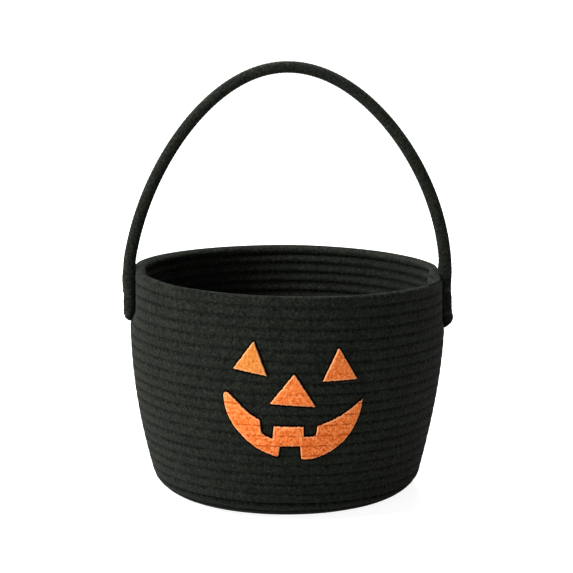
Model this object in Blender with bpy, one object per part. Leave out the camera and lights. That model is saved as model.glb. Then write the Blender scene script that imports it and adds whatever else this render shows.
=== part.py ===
"""Rope candy basket: a coiled rope tub with a rope handle and a felt face.

Metres, +Z up. The origin is the centre of the flat underside. The face looks along -Y, and the
handle stands over the X axis, one foot sewn to each side of the wall.
"""
import math

import bmesh
import bpy
import numpy as np

# The tub's outer shape
BELLY_RADIUS = 0.1104       # widest radius of the wall
BELLY_HEIGHT = 0.120        # height of the widest place
RIM_HEIGHT = 0.1581         # mean height of the rim's top
RIM_DRAW = 0.0004           # how much narrower the rim is than the belly
FOOT_DRAW = 0.0196          # how much the wall's line narrows from the belly to the floor
FOOT_CURVE = 1.75           # power of that narrowing: 1 is a cone, more is rounder
CORNER_RADIUS = 0.0189      # rounding between floor and wall
RIM_LEAN = 0.0016           # the soft rim stands this much higher at -X and lower at +X

# The rope that the tub is wound from
ROPE_PITCH = 0.0072         # room that each course takes
ROPE_THICKNESS = 0.0072     # through the wall
COURSE_GAP = 0.0006         # open groove at the middle of the rope
COURSE_CHAMFER = 0.0011     # how far the pressed faces stand back from the rope's top
LOOP_POINTS = 24            # points in each loop
TUCK_TURN = 0.125           # share of a turn over which the rope's end thins
TUCK_HEIGHT = 0.0036        # height of the thinned end
FLAT_COURSE = 0.1           # least share of a course that the wall's rope lies on the floor
FLOOR_BEVEL = 0.0014        # on the floor disc's edges

# The handle, a thicker rope
HANDLE_DIAMETER = 0.0082
HANDLE_RISE = 0.1373        # from the hinge line to the middle of the rope at the crown
HANDLE_CROWN = 0.0087       # how far the crown is drawn up past a half ellipse
HANDLE_SWAY = 0.0013        # how far the crown leans to +X
HINGE_ABOVE_RIM = 0.0054    # where the rope bends freely, above the mean rim
HANDLE_SIDES = 10
HANDLE_RINGS = 37
ROUND_END = np.radians((30, 55, 75))    # where a rounded rope end has its rings

# The handle's tails, pressed and sewn to the wall
TAIL_LENGTH_LEFT = 0.0392
TAIL_LENGTH_RIGHT = 0.0425
TAIL_WIDTH = 0.0088         # along the wall
TAIL_SPREAD = 0.010         # depth over which the rope takes on that width
TAIL_WAIST = 0.0007         # how much the upper stitches press the rope in
TAIL_WAIST_REACH = 0.0080   # how far up and down that shows
TAIL_END_ROUND = 0.0040     # rounding of the cut end
TAIL_RINGS = 9
PINCH_DEPTH = 0.0026        # how far the tails pull the soft wall inwards
PINCH_SPREAD = math.radians(14)
PINCH_START = 0.108         # height where that pull begins
PINCH_FULL = 0.136          # height where it is whole

# The stitches over each tail
TACK_DEPTHS = {"upper": 0.0150, "lower": 0.0335}    # below the tail's top
TACK_HEIGHT = 0.0030
TACK_THICKNESS = 0.0007
TACK_RINGS = 11

# The felt face, drawn about its own middle and sewn on a little crooked
FELT_THICKNESS = 0.0012
FACE_ACROSS = 0.0050        # the face's middle, along the wall from -Y towards +X
FACE_HEIGHT = 0.0850
FACE_TILT = math.radians(-4.3)
EYE_CORNERS = {
    "left": ((-0.0298, 0.0406), (-0.0422, 0.0208), (-0.0197, 0.0186)),
    "right": ((0.0271, 0.0398), (0.0182, 0.0177), (0.0417, 0.0201)),
}
NOSE_TOP = 0.0203
NOSE_HALF_WIDTH = 0.0152
NOSE_BOTTOM = -0.0002
NOSE_ACROSS = -0.0009
MOUTH_HALF_WIDTH = 0.0482
MOUTH_CORNER_HEIGHT = 0.0025
MOUTH_DROP = 0.0407         # from the corners to the chin line
MOUTH_SKEW = 0.045          # how much fuller the grin is at +X
LIP_HALF_WIDTH = 0.0465     # half the span of the upper edge's arc
LIP_CORNER_HEIGHT = 0.0045
LIP_MIDDLE_HEIGHT = -0.0166
UPPER_GAP_ACROSS = (-0.0174, 0.0128)
UPPER_GAP_WIDTH = 0.0094
UPPER_GAP_FLOOR = -0.0228
LOWER_GAP_ACROSS = -0.0002
LOWER_GAP_WIDTH = 0.0156
LOWER_GAP_TOP = -0.0294
MOUTH_ARC_STEPS = 21
FELT_ROW = 0.0144           # the felt bends to the wall's slope at least this often

CLEARANCE = 0.0003          # between pieces that touch on the real basket
MERGE_DISTANCE = 1e-7       # points of the felt nearer than this are one
SAMPLED_COURSES = 2.5       # courses of the floor that the profile's line begins with
FLOOR_SAMPLES = 40          # steps in which each part of that line is measured
CORNER_SAMPLES = 120
WALL_SAMPLES = 400

HALF_STEP = math.pi / LOOP_POINTS
FACET_SPREAD = 2.0 / (1.0 + math.cos(HALF_STEP))
HINGE_HEIGHT = RIM_HEIGHT + HINGE_ABOVE_RIM
TAIL_TOP = HINGE_HEIGHT - HANDLE_DIAMETER / 2 - CLEARANCE


def clear_scene():
    """Remove every object that the scene starts with."""
    for thing in list(bpy.data.objects):
        bpy.data.objects.remove(thing, do_unlink=True)


def make_material(name, colour, roughness):
    """A plain Principled material in the piece's linear colour."""
    material = bpy.data.materials.new(name)
    material.use_nodes = True
    shader = material.node_tree.nodes["Principled BSDF"]
    shader.inputs["Base Color"].default_value = (*colour, 1.0)
    shader.inputs["Roughness"].default_value = roughness
    shader.inputs["Metallic"].default_value = 0.0
    material.diffuse_color = (*colour, 1.0)
    return material


def make_empty(name, location=(0.0, 0.0, 0.0)):
    """An empty that pieces hang from."""
    empty = bpy.data.objects.new(name, None)
    empty.location = location
    bpy.context.collection.objects.link(empty)
    return empty


def add_object(name, bm, material, parent, smooth_angle=math.radians(30)):
    """Turn a bmesh, in the parent's frame, into a named object with outward faces."""
    bmesh.ops.recalc_face_normals(bm, faces=bm.faces)
    mesh = bpy.data.meshes.new(name)
    bm.to_mesh(mesh)
    bm.free()
    mesh.materials.append(material)
    mesh.shade_smooth()
    mesh.set_sharp_from_angle(angle=smooth_angle)
    piece = bpy.data.objects.new(name, mesh)
    bpy.context.collection.objects.link(piece)
    piece.parent = parent
    return piece


def tube_bmesh(rings):
    """A closed body through a run of rings: quads between neighbours, a flat cap on each end."""
    bm = bmesh.new()
    rows = [[bm.verts.new(point) for point in ring] for ring in rings]
    for row, following in zip(rows, rows[1:]):
        for here in range(len(row)):
            after = (here + 1) % len(row)
            bm.faces.new((row[here], row[after], following[after], following[here]))
    bm.faces.new(rows[0][::-1])
    bm.faces.new(rows[-1])
    return bm


def smoothstep(value):
    """0 below 0, 1 above 1, and a smooth S between."""
    share = np.clip(value, 0.0, 1.0)
    return share * share * (3.0 - 2.0 * share)


def outer_radius(height):
    """Outer radius of the wall: belly, less its narrowing below and above and the floor corner."""
    height = np.asarray(height, dtype=float)
    below = np.clip(1.0 - height / BELLY_HEIGHT, 0.0, None)
    above = np.clip((height - BELLY_HEIGHT) / (RIM_HEIGHT - BELLY_HEIGHT), 0.0, None)
    radius = BELLY_RADIUS - FOOT_DRAW * below ** FOOT_CURVE - RIM_DRAW * above ** 2
    into_corner = np.clip(1.0 - height / CORNER_RADIUS, 0.0, 1.0)
    return radius - CORNER_RADIUS * (1.0 - np.sqrt(1.0 - into_corner ** 2))


def course_line():
    """Radius, height and run of the rope's middle, from the flat floor up to past the rim.

    The outer profile is taken as a flat floor, the corner by its angle and the wall by its
    height. It is moved inwards by half the rope along its own normal.
    """
    flat = float(outer_radius(0.0))
    floor_radii = np.linspace(flat - SAMPLED_COURSES * ROPE_PITCH, flat, FLOOR_SAMPLES, endpoint=False)
    corner_heights = CORNER_RADIUS * (1.0 - np.cos(np.linspace(0.0, math.pi / 2, CORNER_SAMPLES)))
    wall_heights = np.linspace(CORNER_RADIUS, RIM_HEIGHT + ROPE_PITCH, WALL_SAMPLES)[1:]
    heights = np.concatenate([corner_heights, wall_heights])
    radius = np.concatenate([floor_radii, outer_radius(heights)])
    height = np.concatenate([np.zeros_like(floor_radii), heights])
    length = np.hypot(np.gradient(radius), np.gradient(height))
    out_radius = np.gradient(height) / length
    out_height = -np.gradient(radius) / length
    middle_radius = radius - out_radius * ROPE_THICKNESS / 2
    middle_height = height - out_height * ROPE_THICKNESS / 2
    steps = np.hypot(np.diff(middle_radius), np.diff(middle_height))
    run = np.concatenate([[0.0], np.cumsum(steps)])
    corner_run = run[len(floor_radii)]
    return middle_radius, middle_height, run, corner_run


def pinch(angle, height):
    """How far the wall is drawn in at a place: a bell round each tail, fading down the wall."""
    away = np.arcsin(np.abs(np.sin(angle)))
    rise = smoothstep((height - PINCH_START) / (PINCH_FULL - PINCH_START))
    return PINCH_DEPTH * np.exp(-0.5 * (away / PINCH_SPREAD) ** 2) * rise


def settle(points):
    """The soft wall as it stands: drawn in at the tails, and leaning a little at the rim."""
    points = np.asarray(points, dtype=float)
    x, y, z = points[..., 0], points[..., 1], points[..., 2]
    angle = np.arctan2(y, x)
    radius = np.hypot(x, y) - pinch(angle, z)
    x, y = radius * np.cos(angle), radius * np.sin(angle)
    z = z - RIM_LEAN * (x / BELLY_RADIUS) * (z / RIM_HEIGHT)
    return np.stack([x, y, z], axis=-1)


def facet_radius(angle, height):
    """Outer radius of the wound wall, whose loops have straight sides between their points."""
    step = 2 * HALF_STEP
    from_flat = (angle + HALF_STEP) % step - HALF_STEP
    return outer_radius(height) * FACET_SPREAD * math.cos(HALF_STEP) / np.cos(from_flat)


def tail_wall(height):
    """Distance from the axis to the wall's flat facet behind a tail."""
    corner = float(outer_radius(height)) * FACET_SPREAD - float(pinch(HALF_STEP, height))
    return corner * math.cos(HALF_STEP)


def winding():
    """The wall's loops: rings of the pressed rope, and the floor disc's spiral edge.

    A ring has a flat outer face and a flat inner face, joined by two slopes to a ridge at the
    top and one at the bottom, and is pressed flat where it stands. The rope climbs clockwise,
    seen from above, and ends at +X. Its middle ends at the mean height of the rim's top, because
    the rim rises by a course each turn.
    """
    middle_radius, middle_height, run, corner_run = course_line()
    end_run = float(np.interp(RIM_HEIGHT, middle_height, run))
    loops = math.ceil((end_run - corner_run) / ROPE_PITCH + FLAT_COURSE)
    turns = np.arange(loops * LOOP_POINTS + 1) / LOOP_POINTS
    angle = 2 * math.pi * (loops - turns) + HALF_STEP
    place = end_run - ROPE_PITCH * (loops - turns)

    tucked = smoothstep((turns - loops + TUCK_TURN) / TUCK_TURN)
    full_height = ROPE_PITCH - COURSE_GAP
    rope_height = full_height + (TUCK_HEIGHT - full_height) * tucked
    place = place - (full_height - rope_height) / 2
    radius = np.interp(place, run, middle_radius) * FACET_SPREAD
    height = np.interp(place, run, middle_height)
    slope_r = np.interp(place, run, np.gradient(middle_radius, run))
    slope_z = np.interp(place, run, np.gradient(middle_height, run))
    length = np.hypot(slope_r, slope_z)
    up_r, up_z = slope_r / length, slope_z / length

    chamfer = COURSE_CHAMFER * rope_height / full_height
    half_out = np.full_like(rope_height, ROPE_THICKNESS / 2)
    zero = np.zeros_like(rope_height)
    ridge = rope_height / 2
    face = ridge - chamfer
    out = np.stack([half_out, half_out, zero, -half_out, -half_out, zero], axis=1)
    up = np.stack([-face, face, ridge, face, -face, -ridge], axis=1)
    ring_radius = radius[:, None] + out * up_z[:, None] + up * up_r[:, None]
    ring_height = height[:, None] - out * up_r[:, None] + up * up_z[:, None]
    rings = np.stack([
        ring_radius * np.cos(angle)[:, None],
        ring_radius * np.sin(angle)[:, None],
        np.maximum(ring_height, 0.0),
    ], axis=-1)
    edge = place[:LOOP_POINTS + 1] - ROPE_PITCH / 2
    edge_radius = np.interp(edge, run, middle_radius) * FACET_SPREAD
    return settle(rings), angle[:LOOP_POINTS + 1], edge_radius


def least_self_gap(rings):
    """Smallest distance between neighbouring loops, measured on points along each ring's sides."""
    shares = np.linspace(0.0, 1.0, 9)[:-1]
    following = np.roll(rings, -1, axis=1)
    dense = rings[:, :, None, :] + shares[None, None, :, None] * (following - rings)[:, :, None, :]
    dense = dense.reshape(len(rings), -1, 3)
    lower, upper = dense[:-LOOP_POINTS], dense[LOOP_POINTS:]
    apart = np.linalg.norm(lower[:, :, None, :] - upper[:, None, :, :], axis=-1)
    return float(apart.min())


def make_wall_rope(rings, material, parent):
    """The wall, one unbroken rope in level-looking courses."""
    return add_object("wall_rope", tube_bmesh(rings), material, parent)


def make_base_coil(angles, edge_radius, material, parent):
    """The floor, a disc whose edge follows the first turn of the spiral."""
    bevel, top = FLOOR_BEVEL, ROPE_THICKNESS
    stack = ((bevel, 0.0), (0.0, bevel), (0.0, top - bevel), (bevel, top))
    rings = []
    for inset, height in stack:
        radius = edge_radius - CLEARANCE - inset
        rings.append(np.stack([
            radius * np.cos(angles), radius * np.sin(angles), np.full_like(angles, height)
        ], axis=-1))
    return add_object("base_coil", tube_bmesh(rings), material, parent)


def round_rings(middles, outward, half_out, half_wide):
    """Oval rings of a rope in the XZ plane: half_out along each outward way, half_wide along Y."""
    turn = np.linspace(0.0, 2 * math.pi, HANDLE_SIDES, endpoint=False)
    half_out = np.broadcast_to(half_out, len(middles))
    half_wide = np.broadcast_to(half_wide, len(middles))
    to_side = half_out[:, None, None] * np.cos(turn)[None, :, None] * outward[:, None, :]
    to_front = half_wide[:, None, None] * np.sin(turn)[None, :, None] * np.array([0.0, 1.0, 0.0])
    return middles[:, None, :] + to_side + to_front


def tail_thickness(depth):
    """Thickness of a tail below its top: the rope's own, pressed in at the upper stitches."""
    from_tack = (depth - TACK_DEPTHS["upper"]) / TAIL_WAIST_REACH
    return HANDLE_DIAMETER - TAIL_WAIST * np.exp(-from_tack ** 2)


def make_tail(name, side, length, material, parent):
    """A tail of the handle, lying down the wall, flat on top and rounded at its cut end."""
    straight = np.linspace(0.0, length - TAIL_END_ROUND, TAIL_RINGS)
    depth = np.concatenate([straight, straight[-1] + TAIL_END_ROUND * np.sin(ROUND_END)])
    share = np.concatenate([np.ones(TAIL_RINGS), np.cos(ROUND_END)])
    thickness = tail_thickness(depth)
    wall = np.array([tail_wall(TAIL_TOP - below) for below in depth])
    middles = np.stack([
        side * (wall + CLEARANCE + thickness / 2), np.zeros_like(depth), TAIL_TOP - depth
    ], axis=-1)
    outward = np.tile([float(side), 0.0, 0.0], (len(depth), 1))
    width = HANDLE_DIAMETER + (TAIL_WIDTH - HANDLE_DIAMETER) * smoothstep(depth / TAIL_SPREAD)
    rings = round_rings(middles, outward, share * thickness / 2, share * width / 2)
    return add_object(name, tube_bmesh(rings), material, parent)


def make_tack(name, side, depth, material, parent):
    """A row of stitches over a tail: a strap round its outer half, down to the wall each side.

    Seen from above, the strap is half an oval about the rope, with a straight end on each side.
    """
    height = TAIL_TOP - depth
    wall = max(tail_wall(height - TACK_HEIGHT / 2), tail_wall(height + TACK_HEIGHT / 2))
    thickness = float(tail_thickness(depth))
    turn = np.radians(np.linspace(-90, 90, TACK_RINGS))
    middle = wall + CLEARANCE + thickness / 2
    out = np.concatenate([[wall + CLEARANCE], np.full(TACK_RINGS, middle), [wall + CLEARANCE]])
    swing = np.concatenate([[0.0], np.cos(turn), [0.0]])
    across = np.concatenate([[-1.0], np.sin(turn), [1.0]])
    corners = []
    for grow, rise in ((0.0, -1), (TACK_THICKNESS, -1), (TACK_THICKNESS, 1), (0.0, 1)):
        corners.append(np.stack([
            side * (out + (thickness / 2 + 2 * CLEARANCE + grow) * swing),
            (TAIL_WIDTH / 2 + CLEARANCE + grow) * across,
            np.full_like(out, height + rise * TACK_HEIGHT / 2),
        ], axis=-1))
    return add_object(name, tube_bmesh(np.stack(corners, axis=1)), material, parent)


def make_handle_arch(foot, material, parent):
    """The standing rope: a half ellipse drawn up at its crown, with a round foot on each hinge.

    Its middle is x = foot * sin(a) + sway * cos(a), z = (rise - crown) * cos(a) + crown * cos(3a),
    for a from -90 to 90 degrees.
    """
    radius = HANDLE_DIAMETER / 2
    a = np.linspace(-math.pi / 2, math.pi / 2, HANDLE_RINGS)
    x = foot * np.sin(a) + HANDLE_SWAY * np.cos(a)
    z = (HANDLE_RISE - HANDLE_CROWN) * np.cos(a) + HANDLE_CROWN * np.cos(3 * a)
    run_x = foot * np.cos(a) - HANDLE_SWAY * np.sin(a)
    run_z = -(HANDLE_RISE - HANDLE_CROWN) * np.sin(a) - 3 * HANDLE_CROWN * np.sin(3 * a)
    length = np.hypot(run_x, run_z)
    out_x, out_z = -run_z / length, run_x / length
    out_x[0], out_z[0] = -1.0, 0.0
    out_x[-1], out_z[-1] = 1.0, 0.0

    drop, share = -radius * np.sin(ROUND_END), np.cos(ROUND_END)
    foot_x = np.full(len(ROUND_END), foot)
    level = np.zeros(len(ROUND_END))
    x = np.concatenate([-foot_x, x, foot_x])
    z = np.concatenate([drop[::-1], z, drop])
    size = np.concatenate([radius * share[::-1], np.full(HANDLE_RINGS, radius), radius * share])
    out_x = np.concatenate([level - 1.0, out_x, level + 1.0])
    out_z = np.concatenate([level, out_z, level])
    flat = np.zeros_like(x)
    rings = round_rings(np.stack([x, flat, z], axis=-1), np.stack([out_x, flat, out_z], axis=-1), size, size)
    return add_object("handle_arch", tube_bmesh(rings), material, parent)


def face_point(across, up):
    """A point of the face's own drawing, turned by the face's tilt and set on the wall's roll."""
    turned_across = across * math.cos(FACE_TILT) - up * math.sin(FACE_TILT)
    turned_up = across * math.sin(FACE_TILT) + up * math.cos(FACE_TILT)
    return FACE_ACROSS + turned_across, FACE_HEIGHT + turned_up


def nose_outline():
    """Three corners of the nose."""
    return [
        (NOSE_ACROSS, NOSE_TOP),
        (NOSE_ACROSS - NOSE_HALF_WIDTH, NOSE_BOTTOM),
        (NOSE_ACROSS + NOSE_HALF_WIDTH, NOSE_BOTTOM),
    ]


def lip_height(across):
    """Height of the mouth's upper edge, a circle's arc through its two corners and its middle."""
    sag = LIP_CORNER_HEIGHT - LIP_MIDDLE_HEIGHT
    radius = (LIP_HALF_WIDTH ** 2 + sag ** 2) / (2 * sag)
    return LIP_MIDDLE_HEIGHT + radius - np.sqrt(radius ** 2 - np.asarray(across) ** 2)


def chin_height(across):
    """Height of the mouth's lower edge, the lower half of an ellipse, a little fuller at +X."""
    share = np.clip(np.asarray(across) / MOUTH_HALF_WIDTH, -1.0, 1.0)
    return MOUTH_CORNER_HEIGHT - MOUTH_DROP * (1.0 + MOUTH_SKEW * share) * np.sqrt(1.0 - share ** 2)


def notched_edge(stops, edge_height, gap_middles, gap_width, gap_height):
    """Points along an edge from -X to +X, with square gaps cut into it up or down to gap_height."""
    marks = []
    for stop in stops:
        if all(abs(stop - middle) > gap_width / 2 for middle in gap_middles):
            marks.append((float(stop), 0, float(edge_height(stop))))
    for middle in gap_middles:
        low, high = middle - gap_width / 2, middle + gap_width / 2
        marks.append((low, 0, float(edge_height(low))))
        marks.append((low, 1, gap_height))
        marks.append((high, 0, gap_height))
        marks.append((high, 1, float(edge_height(high))))
    return [(across, height) for across, _, height in sorted(marks)]


def mouth_outline():
    """The grin: its lower edge with one tooth gap, then its upper edge back with two."""
    angles = np.linspace(math.radians(177), math.radians(3), MOUTH_ARC_STEPS)
    lower = notched_edge(
        MOUTH_HALF_WIDTH * np.cos(angles), chin_height, (LOWER_GAP_ACROSS,), LOWER_GAP_WIDTH, LOWER_GAP_TOP
    )
    upper = notched_edge(
        np.linspace(-LIP_HALF_WIDTH, LIP_HALF_WIDTH, MOUTH_ARC_STEPS),
        lip_height, UPPER_GAP_ACROSS, UPPER_GAP_WIDTH, UPPER_GAP_FLOOR
    )
    return lower + upper[::-1]


def felt_bmesh(outline):
    """A sheet of felt cut to an outline, bent to the wall's facets and given its thickness."""
    flat = bmesh.new()
    corners = [flat.verts.new((*face_point(across, up), 0.0)) for across, up in outline]
    face = flat.faces.new(corners)
    face.normal_update()
    bmesh.ops.triangulate(flat, faces=[face])
    across = [vert.co.x for vert in flat.verts]
    up = [vert.co.y for vert in flat.verts]
    step = 2 * HALF_STEP * BELLY_RADIUS
    cuts = []
    for column in range(math.floor(min(across) / step) - 1, math.ceil(max(across) / step) + 1):
        cuts.append(((step * (column + 0.5), 0.0, 0.0), (1.0, 0.0, 0.0)))
    for row in range(math.ceil(min(up) / FELT_ROW), math.floor(max(up) / FELT_ROW) + 1):
        cuts.append(((0.0, row * FELT_ROW, 0.0), (0.0, 1.0, 0.0)))
    for place, direction in cuts:
        everything = list(flat.verts) + list(flat.edges) + list(flat.faces)
        bmesh.ops.bisect_plane(
            flat, geom=everything, dist=MERGE_DISTANCE, plane_co=place, plane_no=direction
        )
    bmesh.ops.triangulate(flat, faces=list(flat.faces))
    flat.verts.ensure_lookup_table()
    flat.verts.index_update()

    spots = np.array([vert.co[:] for vert in flat.verts])
    angle = spots[:, 0] / BELLY_RADIUS - math.pi / 2
    height = spots[:, 1]
    sheet = bmesh.new()
    layers = []
    for lift in (CLEARANCE, CLEARANCE + FELT_THICKNESS):
        radius = facet_radius(angle, height) + lift
        points = np.stack([radius * np.cos(angle), radius * np.sin(angle), height], axis=-1)
        layers.append([sheet.verts.new(point) for point in settle(points)])
    back, front = layers
    for triangle in flat.faces:
        numbers = [vert.index for vert in triangle.verts]
        sheet.faces.new([front[n] for n in numbers])
        sheet.faces.new([back[n] for n in reversed(numbers)])
    for edge in flat.edges:
        if edge.is_boundary:
            one, other = (vert.index for vert in edge.verts)
            sheet.faces.new((back[one], back[other], front[other], front[one]))
    flat.free()
    return sheet


def build():
    """Make every piece of the basket."""
    clear_scene()
    rope = make_material("black cotton rope", (0.0160, 0.0180, 0.0140), 0.9)
    thread = make_material("black sewing thread", (0.0110, 0.0120, 0.0100), 0.8)
    felt = make_material("orange felt", (0.7900, 0.1950, 0.0480), 0.95)
    basket = make_empty("basket")
    hinge = make_empty("handle_hinge", (0.0, 0.0, HINGE_HEIGHT))
    hinge.parent = basket

    rings, floor_angles, floor_edge = winding()
    gap = least_self_gap(rings)
    print(f"wall_rope: {(len(rings) - 1) / LOOP_POINTS:.2f} loops, least gap to itself {gap * 1000:.2f} mm")
    make_wall_rope(rings, rope, basket)
    make_base_coil(floor_angles, floor_edge, rope, basket)

    foot = tail_wall(TAIL_TOP) + CLEARANCE + HANDLE_DIAMETER / 2
    make_handle_arch(foot, rope, hinge)
    for side, name, length in ((-1, "left", TAIL_LENGTH_LEFT), (1, "right", TAIL_LENGTH_RIGHT)):
        make_tail(f"handle_tail_{name}", side, length, rope, basket)
        for place, depth in TACK_DEPTHS.items():
            make_tack(f"tail_stitches_{name}_{place}", side, depth, thread, basket)

    for name, corners in EYE_CORNERS.items():
        add_object(f"eye_patch_{name}", felt_bmesh(corners), felt, basket)
    add_object("nose_patch", felt_bmesh(nose_outline()), felt, basket)
    add_object("mouth_patch", felt_bmesh(mouth_outline()), felt, basket)


build()
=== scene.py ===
"""Rope candy basket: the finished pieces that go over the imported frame.

Metres, +Z up, in the frame's own place, with the face towards -Y. The tub is wound from one
cotton rope, the handle is a second rope sewn down each side, and the face is cut from felt.
"""
import math

import bpy
import numpy as np
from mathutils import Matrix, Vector


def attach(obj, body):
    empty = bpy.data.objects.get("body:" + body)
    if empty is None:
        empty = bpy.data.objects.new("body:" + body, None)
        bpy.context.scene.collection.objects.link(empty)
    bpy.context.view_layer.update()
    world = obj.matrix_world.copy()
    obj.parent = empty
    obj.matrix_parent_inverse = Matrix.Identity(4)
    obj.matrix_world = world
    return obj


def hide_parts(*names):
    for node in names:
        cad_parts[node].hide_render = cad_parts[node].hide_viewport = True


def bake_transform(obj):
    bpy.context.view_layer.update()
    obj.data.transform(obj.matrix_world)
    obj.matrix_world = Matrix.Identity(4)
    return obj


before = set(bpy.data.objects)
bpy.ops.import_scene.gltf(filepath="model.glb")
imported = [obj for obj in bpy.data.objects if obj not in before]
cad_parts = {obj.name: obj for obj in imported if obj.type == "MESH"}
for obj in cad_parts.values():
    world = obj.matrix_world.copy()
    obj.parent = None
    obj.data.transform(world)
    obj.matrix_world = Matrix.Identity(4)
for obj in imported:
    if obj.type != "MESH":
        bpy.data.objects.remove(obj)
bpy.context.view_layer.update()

MM = 0.001

# The tub's outer line, as the frame has it
BELLY_RADIUS = 111.3 * MM
BELLY_HEIGHT = 120 * MM
RIM_HEIGHT = 158.0 * MM
RIM_DRAW = 0.4 * MM         # how much narrower than the belly the rim is
FOOT_DRAW = 20.3 * MM       # and the foot, before the rounded corner of the floor
FOOT_CURVE = 1.75
CORNER_WIDTH = 18.8 * MM
CORNER_HEIGHT = 16.0 * MM
ROPE_PITCH = 7.2 * MM
ROPE_THICKNESS = 7.2 * MM
FLOOR_SAMPLES = 300         # points of the line from the axis to the corner
CORNER_SAMPLES = 160        # round the corner
WALL_SAMPLES = 500          # and from there to past the rim

# The pinch that each tail draws into the wall, which starts and is full at these heights
PINCH_DEPTH = 4.5 * MM
PINCH_SPREAD = {"left": math.radians(8), "right": math.radians(6)}
PINCH_FORWARD = {"left": math.radians(5), "right": 0.0}
PINCH_START = 118 * MM
PINCH_FULL = 129 * MM

# How the soft tub stands: its rim drops this much towards +X and +Y, and it bulges sideways
RIM_DROP_X = 1.6 * MM
RIM_DROP_Y = 1.3 * MM
SWAY = 0.45 * MM
SWAY_LENGTH = 85 * MM
RIM_EASE = 1.3 * MM         # the rim comes down before the right-hand tail and up after it
RIM_LIFT = 1.6 * MM         # and it is drawn up just in front of the left-hand one
RIM_LIFT_ANGLE = math.radians(-154)
RIM_LIFT_SPREAD = math.radians(11)
RIM_MOVES = 125 * MM        # height from which both grow, up to the rim
WALL_SWELL = 0.16 * MM
SEAM_WANDER = 0.16 * MM
UNEVEN_START = 10 * MM      # height from which swell and wander grow
UNEVEN_RISE = 60 * MM       # and the height that this takes
WANDER_DRIFT = 1.7          # the wander changes this much faster upwards than the swell

# Unevenness: its waves a turn, the height over which it drifts, and where each one's draws start
WAVES = range(2, 10)
DRIFT_HEIGHT = 22 * MM
SEEDS = {"swell": 11, "wander": 12, "rope": 21, "lower edge": 31, "upper edge": 32}

# The wound rope
LOOP_POINTS = 144
SECTION_POINTS = 20
OUTSIDE_POWER = 5.0         # 2 is a round rope, more is one pressed squarer by its neighbours
INSIDE_POWER = 1.75
RIM_POWER = 3.0             # outside, for the upper side of the last turn
COURSE_OVERLAP = 0.1 * MM
ROPE_UNEVEN = 0.012         # share by which its thickness varies
UNEVEN_LENGTH = 30 * MM     # along the rope
AXIS_GAP = 0.05 * MM        # how near to the axis the first turn comes
END_ANGLE = math.radians(3)
LOW_START = 0.25            # in turns before the right-hand tail, where the last turn gets lower
LOW_TURNS = 0.2             # over this many turns
LOW_SHARE = 0.1             # by this share
TAPER_START = 0.085         # in turns before the right-hand tail
TAPER_END = -0.085          # and the taper's end, that far past it
END_THICKNESS = 0.6 * MM
END_OUTWARDS = 0.3          # share of its lost thickness that the taper moves outwards

# The handle's rope: its line over the hinge, in mm, as fitted to the real one's
HINGE_HEIGHT = 163.5 * MM
ARCH_ACROSS = (108.72, -8.81, -2.86)
ARCH_SWAY = 7.34
ARCH_SHIFT = 0.4
ARCH_UP = (140.2, -3.3, -0.23)
ARCH_SKEW = -4.51
ROPE_AT_LEFT = 8.8 * MM
ROPE_AT_RIGHT = 9.1 * MM
ROPE_AT_CROWN = 8.2 * MM
TAIL_WIDTH = 8.8 * MM
TAIL_SUNK = 0.3 * MM
TAIL_LEAST = 0.4 * MM       # thickness at the very end
TAIL_ROUNDING = 3 * MM      # height over which the end narrows
TAIL_NARROWS = 0.8          # 1 would narrow it to a point
TAIL_RINGS = 100
TAIL_CROWDING = 1.4         # power of the share along a tail: more crowds its rings at the end
ARCH_POINTS = 900
SMOOTH_START = 140 * MM     # height from which the line is smoothed over the hinge
SMOOTH_RISE = 10 * MM
SMOOTH_RINGS = 5.0
RING_SPACING = 0.5 * MM
HANDLE_SIDES = 40
STRANDS = 8                 # plaits seen round the rope in each direction
PLAIT_LENGTH = 3.0 * MM     # along the rope from one plait to the next
PLAIT_HEIGHT = 0.12 * MM
PLAIT_FULL = 3 * MM         # half thickness at which the plaits stand that high

# Each tail's outer edge as it lies, from its end up: height, distance from the axis, in mm
TAIL_EDGES = {
    "left": ((121.0, 110.1), (121.3, 112.2), (121.9, 113.5), (122.8, 114.5), (124.0, 115.1),
             (126.0, 115.5), (128.5, 115.7), (134.3, 115.9), (140.1, 115.6), (145.8, 116.3),
             (151.5, 116.8), (157.2, 115.9)),
    "right": ((115.9, 111.6), (117.0, 113.8), (118.2, 115.6), (119.5, 116.9), (120.8, 117.7),
              (122.2, 118.2), (123.8, 118.3), (125.4, 118.0), (127.2, 117.3), (132.0, 117.2),
              (137.7, 117.1), (143.9, 116.3), (150.1, 116.7), (156.0, 117.0)),
}

# The stitches over the tails: the heights of their rows, in mm, upper and lower
STITCH_ROWS = {"left": (142.8, 126.9), "right": (143.9, 127.4)}
STITCH_STRANDS = 5
STITCH_POINTS = 25          # along each strand
STITCH_SPACING = 0.55 * MM
STITCH_PROUD = 0.08 * MM    # the thread's middle over the rope
STITCH_REACH = 100          # degrees round the rope, to each side of its outside
STITCH_SLANT = 0.3 * MM     # most that a strand leans, each by another share
SLANT_TURN = 2.4
THREAD_RADIUS = 0.25 * MM
THREAD_SIDES = 6

# The seam's zigzag
SEAM_SWING = 1.3 * MM
SWINGS_PER_TURN = 150
SEAM_LOWEST = 16 * MM       # height where it starts
SEAM_END = 0.55             # in turns before the rope's end, where it stops
SEAM_SUNK = 0.35 * MM       # depth of the thread in the rope
NEEDLE_SUNK = 0.25 * MM     # and that much more where the needle went in
SEAM_THREAD_RADIUS = 0.17 * MM
SEAM_THREAD_SIDES = 4
STITCH_LENGTH = 4.6 * MM    # along the rope, from one place where it is drawn in to the next

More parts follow.
